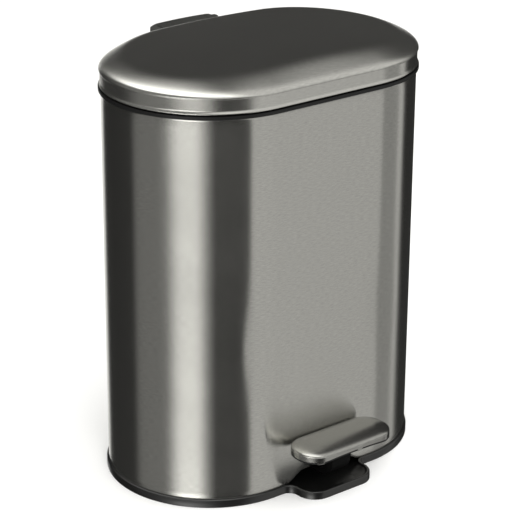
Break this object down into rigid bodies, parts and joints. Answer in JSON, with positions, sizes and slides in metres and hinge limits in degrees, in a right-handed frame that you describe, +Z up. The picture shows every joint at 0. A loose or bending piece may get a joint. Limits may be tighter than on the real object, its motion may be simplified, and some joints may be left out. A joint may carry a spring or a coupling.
{
  "type": "pedal trash can",
  "caption": "Oval brushed-steel pedal bin with a domed lid that opens by foot, black plastic trims and a removable inner bucket with a wire handle.",
  "frame": {"origin": "centre of the oval footprint, on the floor", "axes": "+Z up, -Y towards the pedal, +X to the right as seen from the pedal side"},
  "size_m": [0.2354, 0.201, 0.3045],
  "materials": {
    "brushed_body": "horizontally brushed stainless steel",
    "brushed_lid": "finely brushed stainless steel",
    "black_plastic": "black satin moulded plastic",
    "charcoal_plastic": "charcoal fine-textured plastic",
    "bucket_plastic": "smooth dark grey plastic",
    "soft_rubber": "dull black rubber",
    "zinc_steel": "zinc-plated steel"
  },
  "bodies": {
    "can": {"body_shell": "brushed_body", "top_ring": "black_plastic", "lid_buffers": "soft_rubber", "base_tray": "black_plastic", "base_screws": "zinc_steel", "foot_pads": "soft_rubber", "hinge_housing": "charcoal_plastic", "hinge_plate": "zinc_steel", "hinge_screws": "zinc_steel", "hinge_pin": "zinc_steel", "rod_guides": "black_plastic", "pedal_axle": "zinc_steel", "axle_caps": "zinc_steel"},
    "pedal": {"pedal_cap": "brushed_body", "pedal_core": "black_plastic", "pedal_lever": "zinc_steel", "lever_screws": "zinc_steel"},
    "rod": {"push_rod": "zinc_steel", "rod_clips": "zinc_steel"},
    "lid": {"lid_shell": "brushed_lid", "lid_liner": "black_plastic"},
    "bucket": {"inner_bucket": "bucket_plastic"},
    "handle": {"bucket_handle": "zinc_steel", "handle_grip": "bucket_plastic"}
  },
  "joints": [
    {"name": "pedal_pivot", "type": "hinge", "parent": "can", "child": "pedal", "pos_m": [0, -0.048, 0.012], "axis": [1, 0, 0], "range_deg": [0, 13.2]},
    {"name": "push_rod_slide", "type": "slide", "parent": "can", "child": "rod", "axis": [0, 0, 1], "range_m": [0, 0.0265]},
    {"name": "lid_hinge", "type": "hinge", "parent": "can", "child": "lid", "pos_m": [0, 0.0824, 0.288], "axis": [-1, 0, 0], "range_deg": [0, 80]},
    {"name": "bucket_lift", "type": "slide", "parent": "can", "child": "bucket", "axis": [0, 0, 1], "range_m": [0, 0.003]},
    {"name": "handle_swing", "type": "hinge", "parent": "bucket", "child": "handle", "pos_m": [0, -0.005, 0.262], "axis": [1, 0, 0], "range_deg": [-80, 80]}
  ],
  "couplings": [
    {"joint": "push_rod_slide", "follows": "pedal_pivot", "m_per_rad": 0.115},
    {"joint": "lid_hinge", "follows": "pedal_pivot", "ratio": 6.06}
  ]
}
